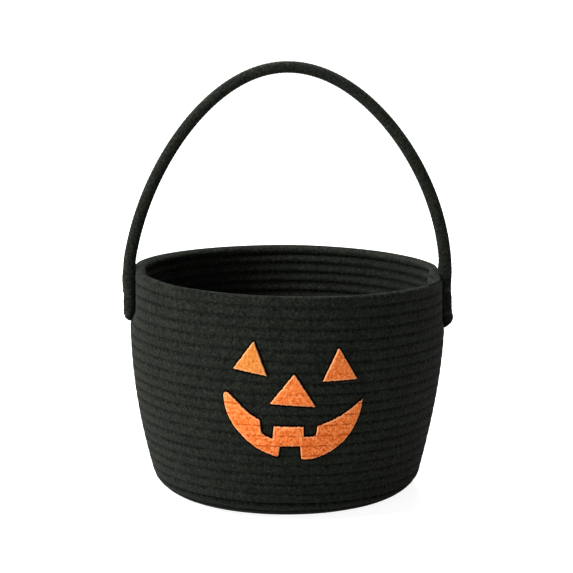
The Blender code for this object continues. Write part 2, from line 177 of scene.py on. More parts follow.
# The felt face: the edges of each piece from -X to +X, across the wall and up, in mm
EYE_LEFT = (((-36.1, 107.7), (-13.6, 103.9)), ((-36.1, 107.7), (-22.3, 126.4), (-13.6, 103.9)))
EYE_RIGHT = (((24.0, 100.3), (47.8, 100.9)), ((24.0, 100.3), (34.4, 122.5), (47.8, 100.9)))
NOSE = (((-11.1, 85.0), (19.5, 82.9)), ((-11.1, 85.0), (4.7, 105.1), (19.5, 82.9)))
GRIN_LOWER_LEFT = (
    (-43.6, 89.3), (-43.3, 85.1), (-41.1, 76.4), (-37.7, 69.8), (-32.5, 63.5), (-26.0, 57.4),
    (-19.7, 53.1), (-12.8, 50.0), (-6.0, 47.7))
GRIN_LOWER_GAP = ((-5.6, 48.5), (-4.5, 55.2), (10.2, 55.1), (11.0, 46.7))
GRIN_LOWER_RIGHT = (
    (11.1, 45.9), (16.1, 45.7), (21.1, 46.4), (28.1, 48.7), (34.2, 51.8), (40.1, 56.1),
    (45.1, 61.6), (48.7, 67.6), (51.3, 74.1), (52.7, 80.2), (53.2, 86.1))
GRIN_UPPER_LEFT = (
    (-43.6, 89.3), (-42.6, 91.0), (-41.2, 91.0), (-39.4, 90.0), (-36.1, 87.1), (-32.7, 83.9),
    (-26.0, 77.9), (-22.1, 75.4), (-18.4, 73.3))
GRIN_UPPER_TEETH = (
    (-17.9, 67.3), (-17.5, 65.3), (-16.2, 63.6), (-14.0, 62.0), (-9.4, 60.3), (-8.6, 69.2),
    (-1.7, 68.9), (5.3, 68.7), (11.8, 68.8), (12.2, 61.6), (19.0, 61.6), (20.7, 62.4),
    (21.5, 64.0))
GRIN_UPPER_RIGHT = (
    (21.7, 68.9), (26.3, 70.4), (30.9, 72.1), (35.2, 74.0), (39.3, 76.1), (44.1, 79.2),
    (48.6, 82.4), (53.2, 86.1))
FELT_THICKNESS = 1.2 * MM
FELT_LIFT = 0.3 * MM        # of its underside off the even wall
FELT_DENT = 0.12 * MM       # most that a seam below marks it
DENT_WIDTH = 0.9 * MM
EDGE_HEIGHT = 0.45          # share of the thickness at which the cut edge starts to round over
EDGE_ROUNDING = 0.6         # mm over which it does
EDGE_SOFTENED = 0.12        # mm that corners of the outline are softened over
FELT_RAGGED = 0.25          # mm that the cut edge wanders
RAG_LENGTH = 2.2            # mm along it, for one step of the undulation's angle
FELT_FRAY = 1.2             # mm that the foot stands out beyond the cut edge, a band painted dark as shade
FOOT_LIFT = 0.25 * MM
TIP_HEIGHTS = (0.2, 0.3)    # mm: least height of a shape at its tips, and more of it further in
TIP_LENGTH = 0.5            # mm from the tip over which the second is reached
CURVE_POINTS = 60           # of each curved part of an edge
FELT_ROWS = 44
FOOT_ROWS = 5
FELT_STEP = 0.32            # mm between columns
STEEP = 3.0                 # slope from which an edge gets a crowd of columns
STEEP_RISE = 0.5            # mm of rise beyond that slope
CROWD_REACH = 0.8           # mm to each side of a steep place
CROWD_COLUMNS = 17
EDGE_SAMPLES = 4001

NAP_DEPTH = 0.9 * MM        # from the pits to the fibre ends, of the rope and of the felt

# The studio: the camera's lens, place and aim were fitted to the photograph
PHOTO_SIDE = 573            # pixels
LENS_LENGTH = 2126.7        # pixels
SENSOR_WIDTH = 36.0         # mm
CAMERA_PLACE = (-0.00016, -1.4839, 0.4052)
CAMERA_AIM = (-0.00016, 0.0, 0.14544)
LAMP_AIM = (0.0, 0.0, 0.13)
LAMPS = (                   # name, place, side of its square, watts
    ("key", (-1.91, -0.65, 1.65), 1.1, 109.0),
    ("fill", (-1.1, -2.2, 0.35), 1.2, 30.0),
    ("top", (-0.1, 0.75, 2.1), 1.2, 90.0),
)
WORLD_LEVEL = 0.105         # of the surround as a light; it shows as 1
PAPER_REACH = 40.0
PAPER_DEPTH = -0.2 * MM
PAPER_GLOW = (0.90, 1.05)   # its own white, which leaves room for the shadow near the object
GLOW_REACH = (0.15, 0.60)   # distances from the middle at which it has these values

# Kinds of shader node
MATH, NOISE, MAP_RANGE = "ShaderNodeMath", "ShaderNodeTexNoise", "ShaderNodeMapRange"
RAMP, MIX = "ShaderNodeValToRGB", "ShaderNodeMix"


def linear(colour):
    """An sRGB hex colour as linear RGBA: each channel through the sRGB curve."""
    value = colour.lstrip("#")
    channels = [int(value[place:place + 2], 16) / 255 for place in (0, 2, 4)]
    curved = [c / 12.92 if c <= 0.04045 else ((c + 0.055) / 1.055) ** 2.4 for c in channels]
    return (*curved, 1.0)


def add_node(tree, kind, settings=None, inputs=None):
    """Add a node: settings go to its properties, inputs to its sockets, as links or as values.

    A node given as an input stands for its first output.
    """
    node = tree.nodes.new(kind)
    for name, value in (settings or {}).items():
        setattr(node, name, value)
    for key, value in (inputs or {}).items():
        if isinstance(value, bpy.types.Node):
            value = value.outputs[0]
        if isinstance(value, bpy.types.NodeSocket):
            tree.links.new(value, node.inputs[key])
        else:
            node.inputs[key].default_value = value
    return node


def new_material(name, **values):
    """A node material with its Principled shader, whose named sockets get these values."""
    material = bpy.data.materials.new(name)
    material.use_nodes = True
    shader = material.node_tree.nodes["Principled BSDF"]
    for key, value in values.items():
        shader.inputs[key.replace("_", " ")].default_value = value
    return material, material.node_tree, shader


def colour_stops(ramp, *stops):
    """Give a colour ramp these stops, each a position and a hex colour."""
    elements = ramp.color_ramp.elements
    while len(elements) < len(stops):
        elements.new(0.5)
    for element, (position, colour) in zip(elements, stops):
        element.position = position
        element.color = linear(colour)
    return ramp


def smoothstep(value):
    """0 below 0, 1 above 1, and a smooth S between."""
    share = np.clip(value, 0.0, 1.0)
    return share * share * (3.0 - 2.0 * share)


def soften(values, width):
    """A running bell-shaped mean, width samples wide, with the ends held."""
    reach = int(3 * width)
    bell = np.exp(-0.5 * (np.arange(-reach, reach + 1) / width) ** 2)
    padded = np.concatenate([np.full(reach, values[0]), values, np.full(reach, values[-1])])
    return np.convolve(padded, bell / bell.sum(), mode="valid")


def undulation(angle, height, seed):
    """Smooth unevenness round the tub, about -1 to 1: a third of the sum of sines of 2 to 9
    waves a turn, each with its own start and its own drift with the height."""
    rng = np.random.default_rng(seed)
    total = np.zeros_like(angle)
    for waves in WAVES:
        start, drift = rng.uniform(0.0, 2 * math.pi), rng.uniform(-1.0, 1.0)
        total = total + np.sin(waves * angle + start + drift * height / DRIFT_HEIGHT)
    return total / 3.0


def outer_radius(height):
    """Outer radius of the wall at a height.

    It is the belly's, less the foot's draw times (share of the way down from the belly)^1.75,
    less the rim's draw times (share of the way up)^2, less a quarter ellipse at the floor.
    """
    height = np.asarray(height, dtype=float)
    below = np.clip(1.0 - height / BELLY_HEIGHT, 0.0, None)
    above = np.clip((height - BELLY_HEIGHT) / (RIM_HEIGHT - BELLY_HEIGHT), 0.0, None)
    radius = BELLY_RADIUS - FOOT_DRAW * below ** FOOT_CURVE - RIM_DRAW * above ** 2
    into_corner = np.clip(1.0 - height / CORNER_HEIGHT, 0.0, 1.0)
    return radius - CORNER_WIDTH * (1.0 - np.sqrt(1.0 - into_corner ** 2))


def tub_line():
    """The tub's outer line from the floor's middle to past the rim, and the rope's middle.

    The middle is the outer line moved inwards by half the rope. Returns the outer line's height,
    the middle's radius and height, the run along it, and that run's slopes.
    """
    flat = float(outer_radius(0.0))
    floor = np.linspace(0.0, flat, FLOOR_SAMPLES, endpoint=False)
    corner = CORNER_HEIGHT * (1.0 - np.cos(np.linspace(0.0, math.pi / 2, CORNER_SAMPLES)))
    wall = np.linspace(CORNER_HEIGHT, RIM_HEIGHT + ROPE_PITCH, WALL_SAMPLES)[1:]
    height = np.concatenate([np.zeros_like(floor), corner, wall])
    radius = np.concatenate([floor, outer_radius(corner), outer_radius(wall)])
    length = np.hypot(np.gradient(radius), np.gradient(height))
    middle_r = radius - np.gradient(height) / length * ROPE_THICKNESS / 2
    middle_z = height + np.gradient(radius) / length * ROPE_THICKNESS / 2
    run = np.concatenate([[0.0], np.cumsum(np.hypot(np.diff(middle_r), np.diff(middle_z)))])
    slope_r, slope_z = np.gradient(middle_r, run), np.gradient(middle_z, run)
    steep = np.hypot(slope_r, slope_z)
    return height, middle_r, middle_z, run, slope_r / steep, slope_z / steep


LINE_Z, MIDDLE_R, MIDDLE_Z, RUN, SLOPE_R, SLOPE_Z = tub_line()
END_RUN = float(np.interp(RIM_HEIGHT, MIDDLE_Z, RUN))


def on_tub(place, out, up, angle):
    """Points beside the rope's middle line, at a run along it and an angle.

    They lie so far out of the wall and up along it, square to the line, but never under the
    floor nor nearer to the axis than its gap.
    """
    slope_r, slope_z = np.interp(place, RUN, SLOPE_R), np.interp(place, RUN, SLOPE_Z)
    radius = np.interp(place, RUN, MIDDLE_R) + out * slope_z + up * slope_r
    height = np.interp(place, RUN, MIDDLE_Z) - out * slope_r + up * slope_z
    radius, height = np.maximum(radius, AXIS_GAP), np.maximum(height, 0.0)
    return np.stack([radius * np.cos(angle), radius * np.sin(angle), height], axis=-1)


def course_place(angle, height):
    """How many courses below the rim's end a place lies: whole numbers are the rope's middle."""
    run = np.interp(height, LINE_Z[FLOOR_SAMPLES:], RUN[FLOOR_SAMPLES:])
    return (END_RUN - run) / ROPE_PITCH - (angle - END_ANGLE) / (2 * math.pi)


def settle(points):
    """The soft tub as it stands.

    Each tail draws it in by depth * exp(-(angle from the tail / spread)^2 / 2), rising with the
    height, a little further forward at the left-hand tail than at the right-hand one. Its rim
    drops towards +X and +Y in proportion, moves by the sine of twice the angle beside the
    right-hand tail, and rises by a bell of the angle in front of the left-hand one. It sways
    sideways by one sine of the height, and small swellings and a wander of the seams make no
    two courses alike.
    """
    x, y, z = points[..., 0], points[..., 1], points[..., 2]
    angle = np.arctan2(y, x)
    forward = np.where(x < 0, PINCH_FORWARD["left"], PINCH_FORWARD["right"])
    spread = np.where(x < 0, PINCH_SPREAD["left"], PINCH_SPREAD["right"])
    near_tail = np.exp(-0.5 * ((np.arcsin(-np.sin(angle)) - forward) / spread) ** 2)
    rise = smoothstep((z - PINCH_START) / (PINCH_FULL - PINCH_START))
    soft = smoothstep((z - UNEVEN_START) / UNEVEN_RISE) * (1.0 - near_tail)
    swell = WALL_SWELL * soft * undulation(angle, z, SEEDS["swell"])
    wander = SEAM_WANDER * soft * undulation(angle, WANDER_DRIFT * z, SEEDS["wander"])
    radius = np.hypot(x, y) - PINCH_DEPTH * near_tail * rise + swell
    sway = SWAY * np.sin(math.pi * (z / SWAY_LENGTH - 1.0))
    drop = (RIM_DROP_X * x + RIM_DROP_Y * y) / BELLY_RADIUS * (z / RIM_HEIGHT)
    ease = RIM_EASE * np.sin(2 * angle) * np.clip(np.cos(angle), 0.0, None)
    lift = RIM_LIFT * np.exp(-0.5 * ((angle - RIM_LIFT_ANGLE) / RIM_LIFT_SPREAD) ** 2)
    drop = drop + (ease - lift) * smoothstep((z - RIM_MOVES) / (RIM_HEIGHT - RIM_MOVES))
    across, away = radius * np.cos(angle) + sway, radius * np.sin(angle)
    return np.stack([across, away, z - drop + wander], axis=-1)


def enclosed(points, quads):
    """Six times the volume that the quads enclose, negative where they face inwards."""
    a, b, c, d = (points[quads[:, k]] for k in range(4))
    return np.einsum("ij,ij->i", a, np.cross(b, c) + np.cross(c, d)).sum()


def make_piece(name, points, quads, caps, material, uv=None, layers=None):
    """Put points, quads and end caps into a mesh, turned outwards, with its UV and attributes.

    uv holds one pair for each corner of each quad, and layers one value for each point.
    """
    inward = enclosed(points, quads) < 0
    if inward:
        quads, caps = quads[:, ::-1], [cap[::-1] for cap in caps]
    mesh = bpy.data.meshes.new(name)
    mesh.from_pydata(points.tolist(), [], quads.tolist() + caps)
    if uv is not None:
        corner_uv = np.zeros((len(mesh.loops), 2))
        corner_uv[:quads.size] = (uv[:, ::-1] if inward else uv).reshape(-1, 2)
        mesh.uv_layers.new(name="UVMap").data.foreach_set("uv", corner_uv.ravel())
    for key, values in (layers or {}).items():
        layer = mesh.attributes.new(key, "FLOAT", "POINT")
        layer.data.foreach_set("value", values.ravel().astype(float))
    mesh.materials.append(material)
    mesh.shade_smooth()
    piece = bpy.data.objects.new(name, mesh)
    bpy.context.collection.objects.link(piece)
    return piece


def ring_faces(strips, rings, sides):
    """Quads and end caps of closed tubes: strips of them, each with so many rings of so many
    sides."""
    numbers = np.arange(strips * rings * sides).reshape(strips, rings, sides)
    wrapped = np.concatenate([numbers, numbers[..., :1]], axis=-1)
    corners = [wrapped[:, :-1, :-1], wrapped[:, 1:, :-1], wrapped[:, 1:, 1:], wrapped[:, :-1, 1:]]
    quads = np.stack(corners, axis=-1).reshape(-1, 4)
    return quads, numbers[:, 0].tolist() + numbers[:, -1, ::-1].tolist()


def swept(name, points, material, along=None, layers=None):
    """A closed tube through rings of points. Its UV is the run along it and the share round it,
    measured round a ring in the middle."""
    rings, sides = points.shape[:2]
    quads, caps = ring_faces(1, rings, sides)
    uv = None
    if along is not None:
        ring = points[rings // 2]
        side = np.linalg.norm(np.roll(ring, -1, axis=0) - ring, axis=1)
        around = np.concatenate([[0.0], np.cumsum(side)]) / side.sum()
        grid = np.stack(np.broadcast_arrays(along[:, None], around), axis=-1)
        corners = [grid[:-1, :-1], grid[1:, :-1], grid[1:, 1:], grid[:-1, 1:]]
        uv = np.stack(corners, axis=2).reshape(-1, 4, 2)
    return make_piece(name, points.reshape(-1, 3), quads, caps, material, uv, layers)


def threads(name, paths, radius, sides, material):
    """Round threads along several paths of equal length: circles square to each path."""
    paths = np.asarray(paths)
    ahead = np.gradient(paths, axis=1)
    ahead = ahead / np.linalg.norm(ahead, axis=-1, keepdims=True)
    side = np.cross(ahead, (0.0, 0.0, 1.0))
    side = side / np.maximum(np.linalg.norm(side, axis=-1, keepdims=True), 1e-9)
    lift = np.cross(side, ahead)
    turn = np.linspace(0.0, 2 * math.pi, sides, endpoint=False)[:, None]
    circle = np.cos(turn) * side[:, :, None] + np.sin(turn) * lift[:, :, None]
    points = paths[:, :, None] + radius * circle
    quads, caps = ring_faces(*points.shape[:3])
    return make_piece(name, points.reshape(-1, 3), quads, caps, material)


def wound_rope(material):
    """The whole tub, one rope from the floor's middle to the rim.

    Its middle follows the tub's line at one pitch for each turn, climbing clockwise seen from
    above, after a first turn that is folded up on the axis and closes the floor. Its section is
    a superellipse, |out / half thickness|^p + |up / half height|^p = 1, with a higher p outside
    than inside. Its end thins out along the rim beside the right-hand tail.
    """
    turns = END_RUN / ROPE_PITCH + 1.0
    back = np.linspace(turns, TAPER_END, int((turns - TAPER_END) * LOOP_POINTS))
    angle = 2 * math.pi * back + END_ANGLE
    full = smoothstep((back - TAPER_END) / (TAPER_START - TAPER_END))
    lower = 1.0 - LOW_SHARE * smoothstep((LOW_START - back) / LOW_TURNS)
    high = END_THICKNESS + (ROPE_PITCH - END_THICKNESS) * full * lower
    place = END_RUN - ROPE_PITCH * (back + 0.5) + high / 2
    radius = np.interp(place, RUN, MIDDLE_R)
    rope_run = np.concatenate([[0.0], np.cumsum(radius[1:] * np.abs(np.diff(angle)))])
    uneven = undulation(rope_run / UNEVEN_LENGTH, 0 * rope_run, SEEDS["rope"])
    half_out = ROPE_THICKNESS / 2 * (0.5 + 0.5 * full) * (1.0 + ROPE_UNEVEN * uneven)
    half_up = high / 2 + COURSE_OVERLAP * full

    turn = np.linspace(-math.pi / 2, 1.5 * math.pi, SECTION_POINTS, endpoint=False)
    rim_side = (back[:, None] < 1.0) & (np.sin(turn) > 0)
    outside = np.where(rim_side, RIM_POWER, OUTSIDE_POWER)
    power = np.where(np.cos(turn) > 0, outside, INSIDE_POWER)
    out_share = np.sign(np.cos(turn)) * np.abs(np.cos(turn)) ** (2 / power)
    up_share = np.sign(np.sin(turn)) * np.abs(np.sin(turn)) ** (2 / power)
    lost = (ROPE_THICKNESS / 2 - half_out)[:, None]
    out = half_out[:, None] * out_share + lost * END_OUTWARDS
    points = on_tub(place[:, None], out, half_up[:, None] * up_share, angle[:, None])
    return swept("coiled_rope", settle(points), material, along=rope_run)


def wall_behind(side, height):
    """Distance from the axis to the settled wall's outside behind a tail, at some heights."""
    before = np.linspace(100 * MM, 170 * MM, 400)    # heights past both ends of a tail
    x = side * outer_radius(before)
    settled = settle(np.stack([x, np.zeros_like(x), before], axis=-1))
    return side * np.interp(height, settled[:, 2], settled[:, 0])


def tail_lines(name, side):
    """A tail's heights from its end up, and its inner and outer edges there.

    The heights crowd together at the end, where the outer edge rounds in to the wall.
    """
    edge = np.array(TAIL_EDGES[name]) * MM
    low, high = edge[0, 0], edge[-1, 0]
    height = low + (high - low) * np.linspace(0.0, 1.0, TAIL_RINGS) ** TAIL_CROWDING
    outer = np.interp(height, edge[:, 0], edge[:, 1])
    inner = wall_behind(side, height) - TAIL_SUNK
    return height, inner, np.maximum(outer, inner + TAIL_LEAST)


def handle_line():
    """The handle rope's middle, half thickness and half width, from left end to right end.

    Over the hinge, with a from -90 to 90 degrees, x = A1 sin a + A2 sin 2a + A3 sin 3a +
    sway cos a and z = hinge + U1 cos a + U3 cos 3a + U5 cos 5a + skew sin 2a. Below it each
    ring is level and reaches from the wall to the tail's outer edge.
    """
    tails = []
    for side, name in ((-1, "left"), (1, "right")):
        height, inner, outer = tail_lines(name, side)
        from_end = np.clip(1.0 - (height - height[0]) / TAIL_ROUNDING, 0.0, 1.0)
        wide = TAIL_WIDTH / 2 * np.sqrt(1.0 - TAIL_NARROWS * from_end ** 2)
        middle, level = side * (inner + outer) / 2, np.ones_like(height)
        tails.append(np.stack([middle, height, (outer - inner) / 2, wide, level], axis=-1))
    a = np.linspace(-math.pi / 2, math.pi / 2, ARCH_POINTS)
    x = sum(size * np.sin((k + 1) * a) for k, size in enumerate(ARCH_ACROSS))
    x = x + ARCH_SWAY * np.cos(a) + ARCH_SHIFT
    z = sum(size * np.cos((2 * k + 1) * a) for k, size in enumerate(ARCH_UP))
    z = z + ARCH_SKEW * np.sin(2 * a)
    foot = np.where(a < 0, ROPE_AT_LEFT, ROPE_AT_RIGHT)
    half = (foot + (ROPE_AT_CROWN - foot) * np.cos(a) ** 2) / 2
    arch = np.stack([x * MM, HINGE_HEIGHT + z * MM, half, half, np.zeros_like(a)], axis=-1)
    line = np.concatenate([tails[0], arch, tails[1][::-1]])
    steps = np.hypot(np.diff(line[:, 0]), np.diff(line[:, 1]))
    run = np.concatenate([[0.0], np.cumsum(steps)])
    even = np.linspace(0.0, run[-1], int(run[-1] / RING_SPACING))
    exact = np.stack([np.interp(even, run, values) for values in line.T])
    smooth = np.stack([soften(values, SMOOTH_RINGS) for values in exact])
    above = smoothstep((exact[1] - SMOOTH_START) / SMOOTH_RISE)
    return even, exact + (smooth - exact) * above


def handle_rope(material):
    """The handle, one braided rope: an oval swept along its line and raised at each plait.

    The plaits' height is cos(2 pi (u / 6 mm + 8 v)) * cos(2 pi (u / 6 mm - 8 v)), with u along
    the rope and v once round it.
    """
    run, (x, z, half, wide, level) = handle_line()
    run_x, run_z = np.gradient(x), np.gradient(z)
    across_x, across_z = run_z, -run_x * (1.0 - level)
    length = np.hypot(across_x, across_z)
    across_x, across_z = across_x / length, across_z / length

    v = np.linspace(0.0, 1.0, HANDLE_SIDES, endpoint=False)
    turn = 2 * math.pi * v
    along = (run / (2 * PLAIT_LENGTH))[:, None]
    right_lay = np.cos(2 * math.pi * (along + STRANDS * v))
    left_lay = np.cos(2 * math.pi * (along - STRANDS * v))
    standing = smoothstep(half / PLAIT_FULL)[:, None]
    raised = PLAIT_HEIGHT * (right_lay * left_lay - 0.5) * standing
    to_side = (half[:, None] + raised) * np.cos(turn)
    to_front = (wide[:, None] + raised) * np.sin(turn)
    points = np.stack([
        x[:, None] + to_side * across_x[:, None],
        to_front,
        z[:, None] + to_side * across_z[:, None],
    ], axis=-1)
    return swept("handle_rope", points, material, along=run)


def bar_tack(name, side, height):
    """The paths of a row of stitches over a tail, each half an oval down to the wall."""
    edge_height, inner, outer = tail_lines(name, side)
    inside, outside = (np.interp(height, edge_height, edge) for edge in (inner, outer))
    turn = np.radians(np.linspace(-STITCH_REACH, STITCH_REACH, STITCH_POINTS))
    paths = []
    for strand in range(STITCH_STRANDS):
        lift = (strand - (STITCH_STRANDS - 1) / 2) * STITCH_SPACING
        slant = STITCH_SLANT * math.sin(SLANT_TURN * strand)
        thick = (outside - inside) / 2 + STITCH_PROUD
        x = side * ((inside + outside) / 2 + thick * np.cos(turn))
        y = (TAIL_WIDTH / 2 + STITCH_PROUD) * np.sin(turn)
        z = height + lift + slant * np.sin(turn)
        paths.append(np.stack([x, y, z], axis=-1))
    return paths


def seam_stitches(name, outside, material):
    """The zigzag that joins the courses, on one face of the wall.

    The thread crosses each seam from 1.3 mm above to 1.3 mm below, lies on the rope between
    and dips where the needle went in.
    """
    lowest = (END_RUN - np.interp(SEAM_LOWEST, MIDDLE_Z, RUN)) / ROPE_PITCH - 1.0
    crossing, needle = np.array([0.0, 1.0, 0.0, -1.0]), np.array([0.0, 1.0, 0.0, 1.0])
    count = int((lowest - SEAM_END) * SWINGS_PER_TURN * len(crossing))
    back = np.linspace(lowest, SEAM_END, count)
    step = np.arange(count) % len(crossing)
    place = END_RUN - ROPE_PITCH * (back + 0.5) + SEAM_SWING * crossing[step]
    sunk = SEAM_SUNK + NEEDLE_SUNK * needle[step]
    out = (ROPE_THICKNESS / 2 - sunk) * (1 if outside else -1)
    points = on_tub(place, out, 0.0, 2 * math.pi * back + END_ANGLE)
    path = settle(points)[None]
    return threads(name, path, SEAM_THREAD_RADIUS, SEAM_THREAD_SIDES, material)


def smooth_edge(points):
    """A smooth line through points: cubic between neighbours, with their slopes."""
    points = np.asarray(points, dtype=float)
    run = np.concatenate([[0.0], np.cumsum(np.linalg.norm(np.diff(points, axis=0), axis=1))])
    slope = np.gradient(points, run, axis=0)
    even = np.linspace(0.0, run[-1], CURVE_POINTS)
    part = np.clip(np.searchsorted(run, even, side="right") - 1, 0, len(run) - 2)
    size = (run[part + 1] - run[part])[:, None]
    t = (even - run[part])[:, None] / size
    return ((2 * t ** 3 - 3 * t ** 2 + 1) * points[part]
            + (t ** 3 - 2 * t ** 2 + t) * size * slope[part]
            + (3 * t ** 2 - 2 * t ** 3) * points[part + 1]
            + (t ** 3 - t ** 2) * size * slope[part + 1])


def outline_distance(across, height, outline):
    """Distance from each point of a grid to the nearest place on a closed outline."""
    points = np.stack([across, height], axis=-1).reshape(-1, 1, 2)
    start, along = outline[:-1], np.diff(outline, axis=0)
    square = np.maximum((along ** 2).sum(-1), 1e-12)
    least = []
    for some in np.array_split(points, max(1, len(points) // 2000)):
        share = np.clip(((some - start) * along).sum(-1) / square, 0.0, 1.0)
        nearest = start + share[..., None] * along
        least.append(np.sqrt(((some - nearest) ** 2).sum(-1)).min(1))
    return np.concatenate(least).reshape(across.shape)


def felt_edges(lower, upper):
    """The columns of a felt shape, and its lower and upper edge there, all in mm.

    The columns crowd together where an edge is steep. Both edges are softened at their corners
    and wander as a hand cuts, and the shape keeps some height at its tips.
    """
    left, right = lower[0, 0], lower[-1, 0]
    columns = [np.linspace(left, right, int((right - left) / FELT_STEP) + 1)]
    crowd = np.linspace(-CROWD_REACH, CROWD_REACH, CROWD_COLUMNS)
    for edge in (lower, upper):
        step, rise = np.abs(np.diff(edge, axis=0)).T
        steep = rise > STEEP * step + STEEP_RISE
        columns += [place + crowd for place in edge[:-1, 0][steep]]
    across = np.unique(np.clip(np.round(np.concatenate(columns), 2), left, right))
    fine = np.linspace(left, right, EDGE_SAMPLES)
    heights = []
    for edge, seed in ((lower, SEEDS["lower edge"]), (upper, SEEDS["upper edge"])):
        exact = np.interp(fine, edge[:, 0], edge[:, 1])
        soft = soften(exact, EDGE_SOFTENED / (fine[1] - fine[0]))
        rag = undulation(across / RAG_LENGTH, 0 * across, seed)
        heights.append(np.interp(across, fine, soft) + FELT_RAGGED * rag)
    low, high = heights
    tip = np.minimum(across - left, right - across)
    least = TIP_HEIGHTS[0] + TIP_HEIGHTS[1] * smoothstep(tip / TIP_LENGTH)
    return across, low, np.maximum(high, low + least)


def felt_foot(across, low, high):
    """Rows across the underside of a felt shape, from beyond its upper edge to beyond its lower
    one, by the fray square to each edge."""
    ends = []
    for edge, outwards in ((high, 1), (low, -1)):
        slope = np.gradient(edge, across)
        frayed = outwards * FELT_FRAY / np.hypot(slope, 1.0)
        ends.append(np.stack([across - frayed * slope, edge + frayed], axis=-1)[:, None])
    level = np.linspace(0.0, 1.0, FOOT_ROWS)[:, None]
    return np.moveaxis(ends[0] * (1.0 - level) + ends[1] * level, -1, 0)


def felt_patch(name, edges, pressed, lit_tone, material):
    """A felt shape between a lower and an upper edge, laid on the wall.

    Each edge is a height for each place across. The face stands one thickness proud, rounds
    over at the cut edge as a quarter circle of the distance from it, and sinks a little over
    each seam. Its foot is frayed, and stands out beyond the cut edge, where it is painted dark as
    shade. pressed is how strongly the seams dent it and darken it with painted shade, and lit_tone
    how far a yellower lit copy of its colour is painted over it, for stronger light.
    """
    across, low, high = felt_edges(*(np.asarray(edge, dtype=float) for edge in edges))
    share = 0.5 - 0.5 * np.cos(np.linspace(0.0, math.pi, FELT_ROWS))
    face_z = low[:, None] + (high - low)[:, None] * share
    face_x = np.broadcast_to(across[:, None], face_z.shape)
    foot_x, foot_z = felt_foot(across, low, high)
    under, over = np.stack([across, low], axis=-1), np.stack([across, high], axis=-1)
    outline = np.concatenate([under, over[::-1], under[:1]])
    distance = outline_distance(face_x, face_z, outline)

    height = np.concatenate([face_z, foot_z], axis=1) * MM
    angle = np.concatenate([face_x, foot_x], axis=1) * MM / BELLY_RADIUS - math.pi / 2
    course = course_place(angle, height)
    from_seam = np.abs(course - np.floor(course) - 0.5)[:, :FELT_ROWS] * ROPE_PITCH
    rounded = np.sqrt(1.0 - (1.0 - np.clip(distance / EDGE_ROUNDING, 0.0, 1.0)) ** 2)
    lift = FELT_LIFT + FELT_THICKNESS * (EDGE_HEIGHT + (1.0 - EDGE_HEIGHT) * rounded)
    lift = lift - pressed * FELT_DENT * np.exp(-(from_seam / DENT_WIDTH) ** 2)
    radius = outer_radius(height) + np.concatenate([lift, 0 * foot_z + FOOT_LIFT], axis=1)
    points = np.stack([radius * np.cos(angle), radius * np.sin(angle), height], axis=-1)
    layers = {
        "edge_distance": np.concatenate([distance, 0 * foot_z - 1.0], axis=1) * MM,
        "course": course,
        "pressed": np.full(height.shape, pressed),
        "lit_tone": np.full(height.shape, lit_tone),
    }
    patch = swept(name, settle(points), material, layers=layers)
    return patch


